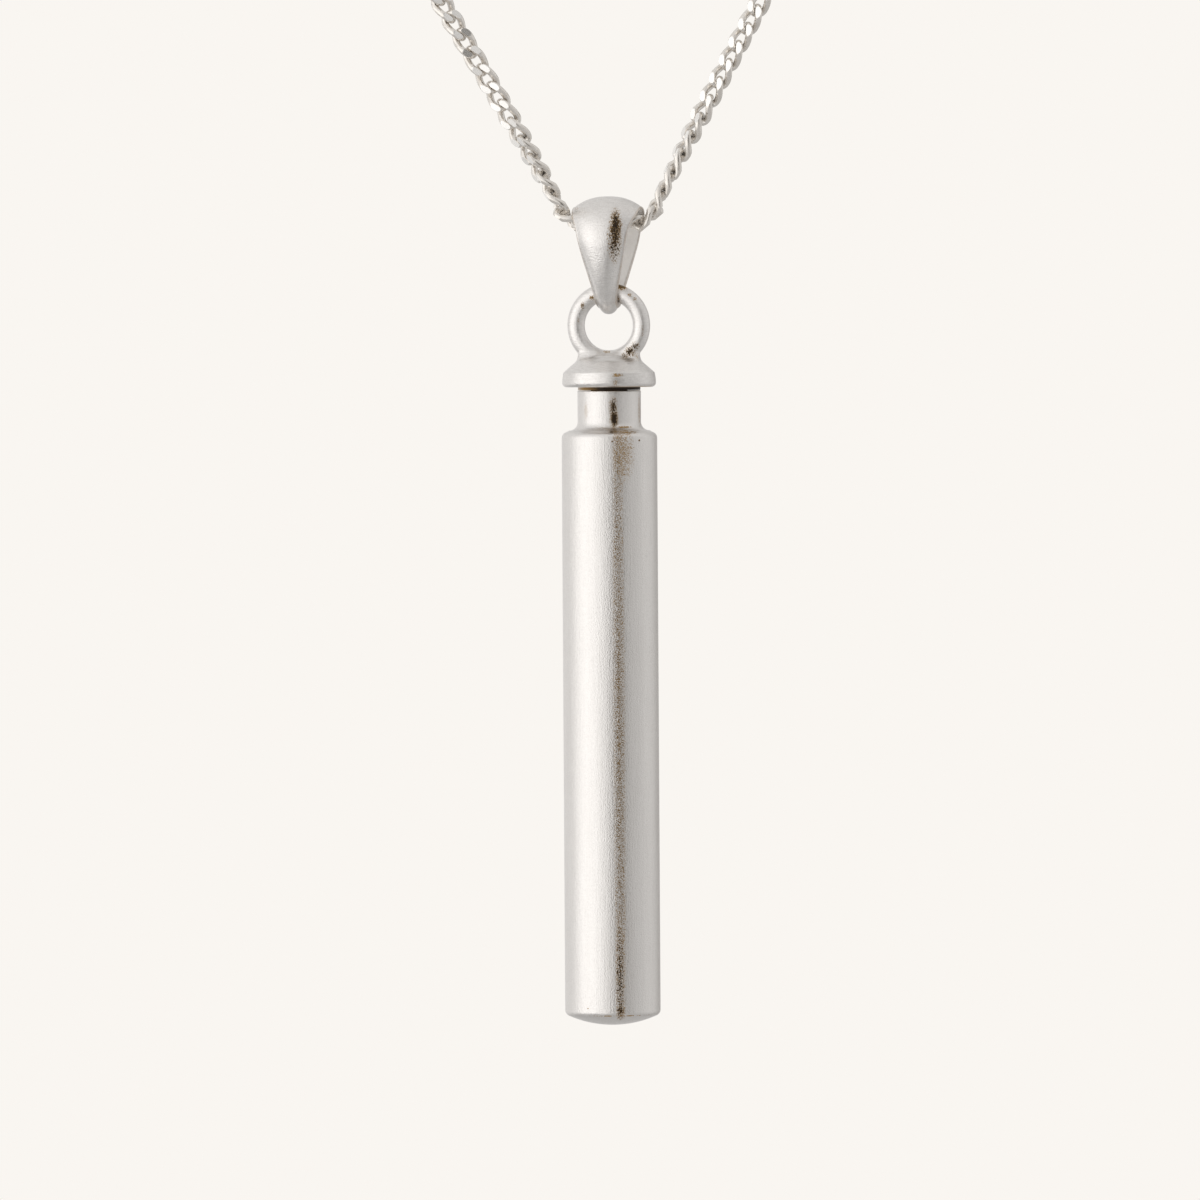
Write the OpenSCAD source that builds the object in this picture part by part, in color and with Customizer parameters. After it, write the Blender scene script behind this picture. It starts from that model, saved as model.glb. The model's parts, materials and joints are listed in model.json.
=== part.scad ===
/* [Chain] */
// Length of the whole loop with its clasp
chain_l = 450; // [400:10:600]
// Diameter of the plain strand that stands for the curb chain
chain_d = 0.75; // [0.6:0.05:0.8]
// Gap over the strand in the bail's hole, which lets flat links turn there
chain_gap = 0.3; // [0.1:0.05:0.4]
// Gap between each end of the strand and the clasp's eye
chain_end_gap = 0.15; // [0.1:0.05:0.4]

/* [Clasp] */
// Diameter of the hidden clasp's barrel
clasp_d = 2.6; // [2:0.1:4]
// Length of the barrel without its tapered ends
clasp_l = 4.4; // [3:0.1:7]
// Length of each tapered end
clasp_taper_l = 0.8; // [0.4:0.1:1.5]
// Diameter at the tip of each tapered end
clasp_tip_d = 1.0; // [0.8:0.1:1.4]
// Wire of the eye at each end
clasp_eye_wire_d = 0.5; // [0.4:0.05:0.7]
// Hole through each eye
clasp_eye_hole_d = 0.9; // [0.8:0.05:1.4]

/* [Bail] */
// Width of the bail across the top of its arch
bail_w = 3.95; // [3.4:0.05:4.6]
// Width of the bar that carries the ring
bail_bar_w = 1.1; // [0.8:0.05:1.4]
// Height of the hole from the bar to the top of the arch
bail_hole_h = 5.15; // [4.6:0.05:6.5]
// Radius of the hole at the top of the arch
bail_hole_r = 1.5; // [1.35:0.05:1.9]
// Thickness in the middle of the arch
bail_top_t = 0.9; // [0.6:0.05:1.2]
// Thickness in the middle of the bar
bail_bar_t = 0.7; // [0.5:0.05:0.9]
// Thickness along the thin edges
bail_edge_t = 0.14; // [0.1:0.02:0.3]
// How far the inner face curls out at its edges
bail_curl = 0.12; // [0.1:0.01:0.25]
// Turn of the hanging pendant about the vertical
pendant_turn = -13; // [-13:1:13]

/* [Ring] */
// Wire of the ring
ring_wire_d = 1.0; // [0.7:0.05:1.2]
// Hole through the ring
ring_hole_d = 2.86; // [2.7:0.02:3.8]
// Gap round the ring's wire where it lies in the bail
ring_gap = 0.06; // [0.04:0.01:0.12]

/* [Cap] */
// Diameter of the cap's rim
rim_d = 5.4; // [4.8:0.1:7]
// Height of the rim
rim_h = 0.9; // [0.7:0.05:1.4]
// Rounding of the rim's lower edge
rim_round = 0.28; // [0.1:0.02:0.32]
// Set-back of the cone's foot from the rim's edge
cone_inset = 0.06; // [0.04:0.02:0.3]
// Height of the cone above the rim
cone_h = 0.72; // [0.5:0.02:1.2]
// Diameter at the top of the cone
cone_top_d = 3.6; // [3.4:0.1:4.2]
// Metal between the ring's hole and the top of the cone
pedestal_h = 0.56; // [0.4:0.02:0.9]
// Width of the pedestal under the ring
pedestal_w = 3.44; // [2.8:0.04:3.6]
// Thickness of the pedestal, front to back
pedestal_t = 1.1; // [0.9:0.05:1.6]
// Outer diameter of the stud's thread
stud_d = 2.4; // [2:0.1:2.6]
// Length of the stud below the rim
stud_l = 3.0; // [2.4:0.1:4.5]
// Depth of the thread
thread_depth = 0.14; // [0.08:0.02:0.2]
// Pitch of the thread
thread_pitch = 0.4; // [0.3:0.05:0.5]
// Radial gap between the stud and the neck's bore
stud_gap = 0.07; // [0.04:0.01:0.1]
// Open seam between the rim and the neck
seam_gap = 0.14; // [0.1:0.02:0.3]

/* [Vessel] */
// Diameter of the tube
tube_d = 5.5; // [5.1:0.1:8]
// Length of the tube from its shoulder to its lower edge
tube_l = 33.6; // [20:0.2:45]
// Wall of the tube
tube_wall = 0.6; // [0.4:0.05:0.8]
// Diameter of the neck
neck_d = 3.65; // [3.45:0.05:4]
// Height of the neck above the shoulder
neck_h = 2.3; // [1.8:0.05:3.5]
// Hollow corner between neck and shoulder
neck_fillet = 0.5; // [0.2:0.05:0.6]
// Fall of the shoulder from its fillet to its edge
shoulder_drop = 0.22; // [0.1:0.02:0.4]
// Metal under the shoulder
shoulder_t = 0.8; // [0.6:0.05:1.2]
// Drop of the domed bottom below the tube's edge
dome_h = 0.64; // [0.4:0.02:1]
// Rounding of the tube's lower edge
dome_round = 0.4; // [0.2:0.05:0.6]
// Metal between the cavity and the tube's lower edge
floor_t = 0.5; // [0.3:0.05:1.2]

/* [Hidden] */
$fn = 96;
// A little overlap that makes two shapes of one solid meet
join = 0.05;

// The heights and points chosen here are those of a 450 mm loop, and grow with it
loop_share = chain_l/450;
// Height of the strand where the bail hangs on it, below the clasp at the nape
swing_z = -174.15*loop_share;
// Sides of the strand, and its rings from one chosen point to the next
chain_sides = 8;
chain_steps = 2;
// Right strand from the nape down to the bail, as x and z
right_route = loop_share*[
    [15, -1.8], [29.3, -7.6], [41.6, -16.8], [50.8, -29], [56.2, -43], [57.9, -57.5],
    [56.4, -71], [51.3, -84], [43.8, -97], [31, -120], [20.3, -140], [9.6, -160],
    [5.35, -168], [3.3, -172]
];
// Left strand from the bail up to the nape, as x and z
left_route = loop_share*[
    [-3.4, -172], [-5.65, -168], [-10.3, -160], [-22, -140], [-33.7, -120], [-47.1, -97],
    [-54.6, -84], [-59.5, -71], [-61, -57.5], [-59, -43], [-53, -29], [-42.8, -16.8],
    [-29.7, -7.6], [-15, -1.8]
];
// Where the strand bends round the bail's edge and lies in its hole
bend_right = [
    [bail_w/2 + 0.7, swing_z + 0.8], [bail_w/2 + 0.4, swing_z + 0.3],
    [bail_w/2 - 0.1, swing_z + 0.02], [bail_w/4, swing_z - 0.03]
];
bend_left = [for (i = [3:-1:0]) [-bend_right[i][0], bend_right[i][1]]];
// The clasp's eyes, and the strand's two ends beside them
eye_r = (clasp_eye_hole_d + clasp_eye_wire_d)/2;
eye_x = clasp_l/2 + clasp_taper_l + eye_r;
chain_end_x = eye_x + eye_r + clasp_eye_wire_d/2 + chain_end_gap;
route = concat(
    [[chain_end_x, -0.2]], right_route, bend_right, [[0, swing_z - 0.04]],
    bend_left, left_route, [[-chain_end_x, -0.2]]
);

// The bail's hole, as a large circle over a small one with the lines that touch both
arch_z = swing_z + chain_d/2 + chain_gap;
arch_centre_z = arch_z - bail_hole_r;
cradle_r = ring_wire_d/2 + ring_gap;
bar_z = arch_z - bail_hole_h;
cradle_z = bar_z + cradle_r;
bail_lean = asin((bail_hole_r - cradle_r)/(arch_centre_z - cradle_z));
arch_steps = 14;
cradle_steps = 8;
leaf_steps = 3;
// How the bail widens from its bar to its arch: share of the height, share of the widening
bail_flare = [
    [0, 0], [0.17, 0.11], [0.28, 0.21], [0.47, 0.39], [0.69, 0.59], [0.81, 0.71], [0.95, 0.95], [1, 1]
];
// Places across the bail where its section has a corner, as shares of its half width
bail_outer_places = [-1, -0.93, -0.77, -0.45, 0, 0.45, 0.77, 0.93, 1];
bail_inner_places = [0.9, 0.45, 0, -0.45, -0.9];
// How full the bail's outer face is
bail_fullness = 2.8;

// Heights of the cap and the vessel, from the ring down
ring_r = (ring_hole_d + ring_wire_d)/2;
ring_z = cradle_z - ring_r;
cone_top_z = ring_z - ring_hole_d/2 - pedestal_h;
rim_top_z = cone_top_z - cone_h;
rim_z = rim_top_z - rim_h;
neck_top_z = rim_z - seam_gap;
shoulder_z = neck_top_z - neck_h;
edge_z = shoulder_z - tube_l;
thread_turns = floor(stud_l/thread_pitch - 0.5);
tube_r = tube_d/2;
bore_r = stud_d/2 + stud_gap;
// The dome's circle, and the small circle that rounds the tube's edge into it
dome_r = (tube_r^2 + dome_h^2)/(2*dome_h);
dome_centre_z = edge_z - dome_h + dome_r;
round_x = tube_r - dome_round;
round_z = dome_centre_z - sqrt((dome_r - dome_round)^2 - round_x^2);
round_angle = atan2(round_x, dome_centre_z - round_z);

// Point at t between b and c on the curve through a, b, c and d
function curve_point(a, b, c, d, t) =
    0.5*(2*b + (c - a)*t + (2*a - 5*b + 4*c - d)*t^2 + (3*b - a - 3*c + d)*t^3);

// The route as a smooth line
function smooth(pts, steps) =
    let (last = len(pts) - 1)
    concat(
        [for (i = [0:last - 1], k = [0:steps - 1])
            curve_point(pts[max(i - 1, 0)], pts[i], pts[i + 1], pts[min(i + 2, last)], k/steps)],
        [pts[last]]
    );

// Ring of the strand, square to the line at point i
function strand_ring(line, i) =
    let (
        way = line[min(i + 1, len(line) - 1)] - line[max(i - 1, 0)],
        side = [-way[1], way[0]]/norm(way)
    )
    [for (k = [0:chain_sides - 1])
        let (a = 360*(k + 0.5)/chain_sides, out = chain_d/2*cos(a))
        [line[i][0] + side[0]*out, chain_d/2*sin(a), line[i][1] + side[1]*out]];

// Station of the bail's hole: centre height, radius, and direction of the outward normal
function arch_station(a) = [arch_centre_z, bail_hole_r, a];
function cradle_station(a) = [cradle_z, cradle_r, a];
function between(s, t, k) = [s[0] + (t[0] - s[0])*k, s[1] + (t[1] - s[1])*k, s[2]];
function leaf_stations(s, t) = [for (i = [1:leaf_steps]) between(s, t, i/(leaf_steps + 1))];

bail_stations = concat(
    [for (i = [0:arch_steps]) arch_station(-bail_lean + i*(180 + 2*bail_lean)/arch_steps)],
    leaf_stations(arch_station(180 + bail_lean), cradle_station(180 + bail_lean)),
    [for (i = [0:cradle_steps]) cradle_station(180 + bail_lean + i*(180 - 2*bail_lean)/cradle_steps)],
    leaf_stations(cradle_station(-bail_lean), arch_station(-bail_lean))
);

// Section of the bail at a station, widening and thickening from the bar to the arch
function bail_ring(station) =
    let (
        y = station[1]*cos(station[2]),
        z = station[0] + station[1]*sin(station[2]),
        share = (z - bar_z)/bail_hole_h,
        half_w = (bail_bar_w + (bail_w - bail_bar_w)*lookup(share, bail_flare))/2,
        t = bail_bar_t + (bail_top_t - bail_bar_t)*share,
        edge = bail_curl + bail_edge_t,
        outer = [for (u = bail_outer_places) [u, edge + (t - edge)*(1 - pow(abs(u), bail_fullness))]],
        inner = [for (u = bail_inner_places) [u, bail_curl*u*u]]
    )
    [for (p = concat(outer, inner))
        [p[0]*half_w, y + p[1]*cos(station[2]), z + p[1]*sin(station[2])]];

// Closed surface over a row of rings, joined end to end or capped
module skin(rings, joined) {
    n = len(rings[0]);
    count = len(rings);
    sides = [for (i = [0:(joined ? count : count - 1) - 1], j = [0:n - 1], half = [0, 1])
        let (
            a = i*n + j,
            b = i*n + (j + 1)%n,
            c = (i + 1)%count*n + (j + 1)%n,
            d = (i + 1)%count*n + j
        )
        half == 0 ? [a, b, c] : [a, c, d]];
    caps = joined ? [] : [[for (j = [n - 1:-1:0]) j], [for (j = [0:n - 1]) (count - 1)*n + j]];
    polyhedron([for (r = rings) each r], concat(sides, caps));
}

// Ring of round wire in the XZ plane
module wire_ring(r, wire_d) {
    rotate([90, 0, 0]) rotate_extrude() translate([r, 0]) circle(d = wire_d);
}

// The pendant's own turn as it hangs
module turned() {
    rotate([0, 0, pendant_turn]) children();
}

module chain() {
    line = smooth(route, chain_steps);
    color([0.84, 0.84, 0.83]) skin([for (i = [0:len(line) - 1]) strand_ring(line, i)], false);
}

module clasp() {
    color([0.82, 0.82, 0.81]) union() {
        rotate([0, 90, 0]) cylinder(d = clasp_d, h = clasp_l, center = true);
        for (s = [-1, 1]) {
            translate([s*clasp_l/2, 0, 0]) rotate([0, s*90, 0])
                cylinder(d1 = clasp_d, d2 = clasp_tip_d, h = clasp_taper_l);
            translate([s*eye_x, 0, 0]) wire_ring(eye_r, clasp_eye_wire_d);
        }
    }
}

module bail() {
    color([0.79, 0.78, 0.76]) turned() skin([for (s = bail_stations) bail_ring(s)], true);
}

// Half outline of the cap without its ring: threaded stud, rim and cone
module cap_outline() {
    root_r = stud_d/2 - thread_depth;
    tip_z = rim_z - stud_l;
    polygon(concat(
        [[0, rim_z + join], [root_r, rim_z + join]],
        [for (i = [0:thread_turns - 1], k = [0, 1, 2])
            [k == 1 ? stud_d/2 : root_r, rim_z - thread_pitch*(i + 0.5 + k*0.45)]],
        [[root_r, tip_z + thread_depth], [root_r - thread_depth, tip_z], [0, tip_z]]
    ));
    translate([0, rim_z]) square([rim_d/2 - rim_round, rim_h]);
    translate([0, rim_z + rim_round]) square([rim_d/2, rim_h - rim_round]);
    translate([rim_d/2 - rim_round, rim_z + rim_round]) circle(r = rim_round);
    polygon([
        [0, rim_top_z - join], [rim_d/2 - cone_inset, rim_top_z - join],
        [rim_d/2 - cone_inset, rim_top_z], [cone_top_d/2, cone_top_z], [0, cone_top_z]
    ]);
}

module cap() {
    color([0.8, 0.79, 0.77]) turned() union() {
        rotate_extrude() cap_outline();
        translate([0, 0, ring_z]) wire_ring(ring_r, ring_wire_d);
        difference() {
            intersection() {
                translate([0, 0, cone_top_z - join]) cylinder(d = pedestal_w, h = pedestal_h + ring_wire_d);
                translate([-pedestal_w, -pedestal_t/2, cone_top_z - join])
                    cube([2*pedestal_w, pedestal_t, pedestal_h + ring_wire_d/2]);
            }
            translate([0, 0, ring_z]) rotate([90, 0, 0])
                cylinder(d = ring_hole_d, h = 2*pedestal_t, center = true);
        }
    }
}

// Half outline of the hollow corner between neck and shoulder
module fillet_outline() {
    foot_r = neck_d/2 + neck_fillet;
    difference() {
        translate([0, shoulder_z - join]) square([foot_r, neck_fillet + join]);
        translate([foot_r, shoulder_z + neck_fillet]) circle(r = neck_fillet);
    }
}

// Half outline of the domed bottom, rounded into the tube
module dome_outline() {
    touch = [dome_r*sin(round_angle), dome_centre_z - dome_r*cos(round_angle)];
    intersection() {
        translate([0, dome_centre_z]) circle(r = dome_r);
        union() {
            translate([0, edge_z - dome_h]) square([round_x, round_z + join - edge_z + dome_h]);
            polygon([[round_x - join, round_z], touch, [round_x - join, edge_z - dome_h]]);
            translate([round_x, round_z]) circle(r = dome_round);
        }
    }
}

module vessel() {
    cavity_top_z = shoulder_z - shoulder_t;
    color([0.8, 0.79, 0.77]) turned() difference() {
        union() {
            translate([0, 0, shoulder_z - join]) cylinder(d = neck_d, h = neck_h + join);
            rotate_extrude() fillet_outline();
            translate([0, 0, shoulder_z - shoulder_drop])
                cylinder(r1 = tube_r, r2 = neck_d/2 + neck_fillet, h = shoulder_drop);
            translate([0, 0, round_z]) cylinder(r = tube_r, h = shoulder_z - shoulder_drop - round_z);
            rotate_extrude() dome_outline();
        }
        translate([0, 0, edge_z + floor_t])
            cylinder(r = tube_r - tube_wall, h = cavity_top_z - edge_z - floor_t);
        translate([0, 0, cavity_top_z - join])
            cylinder(r = bore_r, h = neck_top_z - cavity_top_z + 2*join);
    }
}

chain();
clasp();
bail();
cap();
vessel();
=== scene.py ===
import json
import math
import random

import bpy
from mathutils import Matrix, Vector


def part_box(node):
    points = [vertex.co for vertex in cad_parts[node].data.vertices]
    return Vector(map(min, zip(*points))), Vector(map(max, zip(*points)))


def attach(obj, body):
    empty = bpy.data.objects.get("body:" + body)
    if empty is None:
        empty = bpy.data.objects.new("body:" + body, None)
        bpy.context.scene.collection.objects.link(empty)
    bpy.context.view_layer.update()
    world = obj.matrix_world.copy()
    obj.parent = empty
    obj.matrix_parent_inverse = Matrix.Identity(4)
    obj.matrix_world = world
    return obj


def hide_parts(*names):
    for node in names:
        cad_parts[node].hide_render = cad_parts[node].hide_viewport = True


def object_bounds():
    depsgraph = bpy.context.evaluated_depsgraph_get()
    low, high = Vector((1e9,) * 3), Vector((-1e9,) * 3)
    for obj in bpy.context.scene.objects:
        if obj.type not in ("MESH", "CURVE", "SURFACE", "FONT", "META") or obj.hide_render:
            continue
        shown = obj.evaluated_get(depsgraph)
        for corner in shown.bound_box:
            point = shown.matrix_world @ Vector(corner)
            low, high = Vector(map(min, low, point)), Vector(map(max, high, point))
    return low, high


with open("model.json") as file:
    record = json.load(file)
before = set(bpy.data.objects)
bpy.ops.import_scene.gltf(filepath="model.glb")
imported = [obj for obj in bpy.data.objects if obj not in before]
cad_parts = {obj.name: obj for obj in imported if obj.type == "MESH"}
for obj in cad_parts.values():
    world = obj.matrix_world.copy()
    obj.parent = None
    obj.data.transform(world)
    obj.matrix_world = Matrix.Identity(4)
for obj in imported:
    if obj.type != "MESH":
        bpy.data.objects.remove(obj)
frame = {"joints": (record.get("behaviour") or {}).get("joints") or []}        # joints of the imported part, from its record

# Everything is modelled in millimetres round the clasp at the nape, and made metres when a piece is done.
metre = 1000
cadLow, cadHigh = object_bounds()
joints = {joint["name"]: joint for joint in frame["joints"]}
pendantTurn = math.radians(-13)  # the pendant hangs a little turned on its chain
mergeWithin = 1e-4  # mm within which doubled vertices are merged
sameWithin = 1e-3  # mm within which two places count as one


def corners(node):  # lowest and highest corner of a CAD node, in mm
    low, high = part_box(node)
    return low*metre, high*metre


def deselect():
    bpy.ops.object.select_all(action="DESELECT")


def pick(piece):
    deselect()
    piece.select_set(True)
    bpy.context.view_layer.objects.active = piece


def applyModifiers(piece):
    pick(piece)
    for modifier in list(piece.modifiers):
        bpy.ops.object.modifier_apply(modifier=modifier.name)


def selectVertices(piece, wanted):  # in edit mode afterwards, with only the wanted vertices selected
    pick(piece)
    bpy.ops.object.mode_set(mode="EDIT")
    bpy.ops.mesh.select_mode(type="VERT")
    bpy.ops.mesh.select_all(action="DESELECT")
    bpy.ops.object.mode_set(mode="OBJECT")
    for vertex in piece.data.vertices:
        vertex.select = bool(wanted(vertex.co))
    bpy.ops.object.mode_set(mode="EDIT")


def joinAll(pieces, name):
    deselect()
    for piece in pieces:
        piece.select_set(True)
    bpy.context.view_layer.objects.active = pieces[0]
    bpy.ops.object.join()
    pieces[0].name = name
    return pieces[0]


def finishPiece(piece, name, sharpAngle=40):  # smooth, in metres, with its origin at the nape
    piece.name = name
    piece.data.name = name
    pick(piece)
    bpy.ops.transform.resize(value=(1/metre, 1/metre, 1/metre), center_override=(0, 0, 0))
    bpy.ops.object.transform_apply(location=True, rotation=True, scale=True)
    bpy.ops.object.shade_smooth_by_angle(angle=math.radians(sharpAngle))
    return piece


def arc(centre, radius, start, end, steps):  # points round a centre, angles in degrees from +X to +Z
    turn = (end - start)/steps
    angles = [math.radians(start + turn*k) for k in range(steps + 1)]
    return [(centre[0] + radius*math.cos(a), centre[1] + radius*math.sin(a)) for a in angles]


def drawOutline(points):  # one vertex, extruded from point to point in the XZ plane
    deselect()
    bpy.ops.mesh.primitive_plane_add(size=1, location=(0, 0, 0))
    piece = bpy.context.object
    bpy.ops.object.mode_set(mode="EDIT")
    bpy.ops.mesh.merge(type="CENTER")
    here = (0, 0)
    for number, point in enumerate(points):
        step = (point[0] - here[0], 0, point[1] - here[1])
        if number == 0:
            bpy.ops.transform.translate(value=step)
        else:
            bpy.ops.mesh.extrude_region_move(TRANSFORM_OT_translate={"value": step})
        here = point
    bpy.ops.object.mode_set(mode="OBJECT")
    return piece


def roundCorner(piece, point, size, segments):  # rounds one corner of an outline
    selectVertices(piece, lambda co: abs(co.x - point[0]) + abs(co.z - point[1]) < sameWithin)
    bpy.ops.mesh.bevel(offset=size, segments=segments, affect="VERTICES")
    bpy.ops.object.mode_set(mode="OBJECT")


def faceOutwards():  # in edit mode
    bpy.ops.mesh.select_all(action="SELECT")
    bpy.ops.mesh.normals_make_consistent(inside=False)


def turnOnLathe(piece, steps=192):  # spins an outline about the vertical axis and closes it
    pick(piece)
    bpy.ops.object.mode_set(mode="EDIT")
    bpy.ops.mesh.select_all(action="SELECT")
    bpy.ops.mesh.spin(steps=steps, angle=math.tau, center=(0, 0, 0), axis=(0, 0, 1))
    bpy.ops.mesh.select_all(action="SELECT")
    bpy.ops.mesh.remove_doubles(threshold=mergeWithin)
    faceOutwards()
    bpy.ops.object.mode_set(mode="OBJECT")
    return piece


# Camera, at the photograph's height and distance, with its slight roll
view = {
    "aim": (-0.6, 0, -195.8),  # middle of the picture, in mm
    "distance": 600,
    "elevation": 1.5,
    "roll": -0.35,
    "width": 69.1,  # what the picture spans at the pendant, in mm
    "sensor": 36,
    "nearest": 50,  # nothing nearer is drawn
}


def makeCamera():
    tilt = math.radians(view["elevation"])
    back = Vector((0, -math.cos(tilt), math.sin(tilt)))
    deselect()
    bpy.ops.object.camera_add(location=(Vector(view["aim"]) + back*view["distance"])/metre)
    camera = bpy.context.object
    camera.name = "camera"
    roll = Matrix.Rotation(math.radians(view["roll"]), 4, "Z").to_quaternion()
    camera.rotation_euler = ((-back).to_track_quat("-Z", "Y") @ roll).to_euler()
    camera.data.sensor_width = view["sensor"]
    camera.data.lens = view["sensor"]*view["distance"]/view["width"]
    camera.data.clip_start = view["nearest"]/metre
    bpy.context.scene.camera = camera


makeCamera()
print("camera placed")


# Vessel: hollow tube with its neck, shoulder and domed bottom, turned in one
vesselSizes = {
    "neckWidth": 3.65,
    "neckHeight": 2.3,
    "fillet": 0.5,
    "shoulderDrop": 0.22,
    "shoulderEdge": 0.2,
    "shoulderMetal": 0.8,
    "domeDrop": 0.64,
    "domeRound": 0.36,
    "wall": 0.6,
    "floorMetal": 0.5,
    "bore": 2.54,
    "lipRound": 0.05,
    "hold": 0.06,  # how far a supporting loop lies from a corner
    "sideHold": 1,  # the same on the long straight side
    "domeSteps": 24,
    "roundSteps": 12,
}


def makeVessel():
    low, high = corners("vessel")
    tube = (high.x - low.x)/2
    neck = vesselSizes["neckWidth"]/2
    bore = vesselSizes["bore"]/2
    fillet = vesselSizes["fillet"]
    hold, sideHold = vesselSizes["hold"], vesselSizes["sideHold"]
    shoulder = high.z - vesselSizes["neckHeight"]
    rimEdge = shoulder - vesselSizes["shoulderDrop"]
    tubeEdge = low.z + vesselSizes["domeDrop"]
    cavity = tube - vesselSizes["wall"]
    cavityTop = shoulder - vesselSizes["shoulderMetal"]
    cavityFloor = tubeEdge + vesselSizes["floorMetal"]
    # The dome's big circle, and the small one that rounds the tube's edge into it
    drop, small = vesselSizes["domeDrop"], vesselSizes["domeRound"]
    dome = (tube**2 + drop**2)/(2*drop)
    domeCentre = low.z + dome
    smallX = tube - small
    smallZ = domeCentre - math.sqrt((dome - small)**2 - smallX**2)
    meet = math.degrees(math.atan2(smallX, domeCentre - smallZ))
    foot = neck + fillet
    outline = arc((0, domeCentre), dome, -90, -90 + meet, vesselSizes["domeSteps"])
    outline += arc((smallX, smallZ), small, -90 + meet, 0, vesselSizes["roundSteps"])[1:]
    outline += [(tube, smallZ + hold), (tube, smallZ + sideHold), (tube, rimEdge - sideHold)]
    outline += [(tube, rimEdge), (foot, shoulder)]
    outline += arc((foot, shoulder + fillet), fillet, 270, 180, vesselSizes["roundSteps"])[1:]
    outline += [(neck, shoulder + fillet + hold), (neck, high.z - 2*hold), (neck, high.z), (bore, high.z)]
    outline += [(bore, high.z - 2*hold), (bore, cavityTop + hold), (bore, cavityTop), (cavity, cavityTop)]
    outline += [(cavity, cavityTop - hold), (cavity, cavityFloor + hold)]
    outline += [(cavity, cavityFloor), (0, cavityFloor)]
    vessel = drawOutline(outline)
    roundCorner(vessel, (tube, rimEdge), vesselSizes["shoulderEdge"], segments=5)
    roundCorner(vessel, (neck, high.z), vesselSizes["lipRound"], segments=3)
    roundCorner(vessel, (bore, high.z), vesselSizes["lipRound"], segments=3)
    turnOnLathe(vessel)
    return finishPiece(vessel, "vesselTube")


vessel = makeVessel()
print("vessel turned", len(vessel.data.polygons), "faces")


# Cap: rim, cone, cast ring and pedestal in one casting, with a threaded stud
capSizes = {
    "rim": 5.4,
    "rimTop": 5.26,  # the rim's side is a little barrelled
    "rimSide": ((-0.01, 0.2), (0.02, -0.12)),  # out from both radii, up from the rounding and from the top
    "rimHeight": 0.84,
    "rimRound": 0.26,
    "rimHold": 0.1,  # how far a supporting loop lies from the rounding
    "coneHeight": 0.72,
    "coneTop": 3.6,
    "ringWire": 1.0,
    "ringHole": 2.86,
    "pedestalHeight": 0.56,
    "pedestalWidth": 3.6,
    "pedestalThickness": 1.2,
    "pedestalEdge": 0.2,
    "pedestalSunk": 0.2,  # how far it stands in the cone
    "pedestalRise": 0.35,  # how far it reaches past the middle of the ring's wire
    "stud": 2.4,
    "studLength": 3.0,
    "studSunk": 0.4,  # in the casting
    "threadDepth": 0.14,
    "threadPitch": 0.4,
    "threadWidth": 0.9,  # of the pitch
    "threadSunk": 0.04,
    "threadSteps": 64,
    "bareStud": 0.5,  # above the thread
    "grain": 0.039,  # size of the voxels that melt the casting together
    "mound": 0.15,  # height of the soft mound that carries the pedestal
    "moundTop": 1.8,
    "seat": 3.6,  # shallow disc over the neck that fills the seam's gap and carries its painted shadow
    "seatGap": 0.03,  # between the seat and the neck's lip
    "seatSunk": 0.3,
    "softTurns": 4,  # smoothing all over
    "meltTurns": 80,  # smoothing where the ring meets the pedestal
    "footTurns": 140,  # smoothing where the pedestal meets the cone
    # Those two places, in mm: out from the middle, up from the middle of the ring's wire or from the
    # cone's top, and down from the cone's top
    "root": {"out": 2.15, "up": 0.9, "down": 0.15},
    "foot": {"out": 2.3, "up": 0.5, "down": 0.4},
    "fadeOut": 0.3,  # over how many mm the smoothing fades
    "fadeUp": 0.5,
    "fade": 0.25,
}


def turnAboutUp(piece):  # the pendant's own turn
    pick(piece)
    bpy.ops.object.transform_apply(location=True, rotation=True, scale=True)
    piece.data.transform(Matrix.Rotation(pendantTurn, 4, "Z"))


def ease(room, width):  # from 0 to 1 while room grows from 0 to width
    return min(1, max(0, room/width))


def makeStud(rimUnder):
    depth, pitch = capSizes["threadDepth"], capSizes["threadPitch"]
    root = capSizes["stud"]/2 - depth
    top = rimUnder + capSizes["studSunk"]
    tip = rimUnder - capSizes["studLength"]
    low = tip + depth
    stud = turnOnLathe(drawOutline([(0, top), (root, top), (root, low), (root - depth, tip), (0, tip)]), 96)
    # A shallow disc fills most of the seam's gap, where it is painted dark as the seam's shadow
    seat = capSizes["seat"]/2
    over = rimUnder + capSizes["seatSunk"]
    under = corners("vessel")[1].z + capSizes["seatGap"]
    seamShadowDisc = turnOnLathe(drawOutline([(0, over), (seat, over), (seat, under), (0, under)]))
    # One tooth of the thread, wound up the stud by the screw modifier
    crest, end = low + pitch*(capSizes["threadWidth"]/2), low + pitch*capSizes["threadWidth"]
    inner = root - capSizes["threadSunk"]
    tooth = drawOutline([(inner, low), (root + depth, crest), (inner, end), (inner, low)])
    pick(tooth)
    winding = tooth.modifiers.new("winding", "SCREW")
    winding.axis = "Z"
    winding.angle = math.tau
    winding.screw_offset = pitch
    winding.iterations = int((rimUnder - low - capSizes["bareStud"])/pitch)
    winding.steps = winding.render_steps = capSizes["threadSteps"]
    winding.use_merge_vertices = True
    winding.merge_threshold = mergeWithin
    applyModifiers(tooth)
    bpy.ops.object.mode_set(mode="EDIT")
    bpy.ops.mesh.select_all(action="SELECT")
    bpy.ops.mesh.remove_doubles(threshold=mergeWithin)
    bpy.ops.mesh.select_all(action="DESELECT")
    bpy.ops.mesh.select_non_manifold()
    bpy.ops.mesh.edge_face_add()
    faceOutwards()
    bpy.ops.object.mode_set(mode="OBJECT")
    return [stud, seamShadowDisc, tooth]


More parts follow.
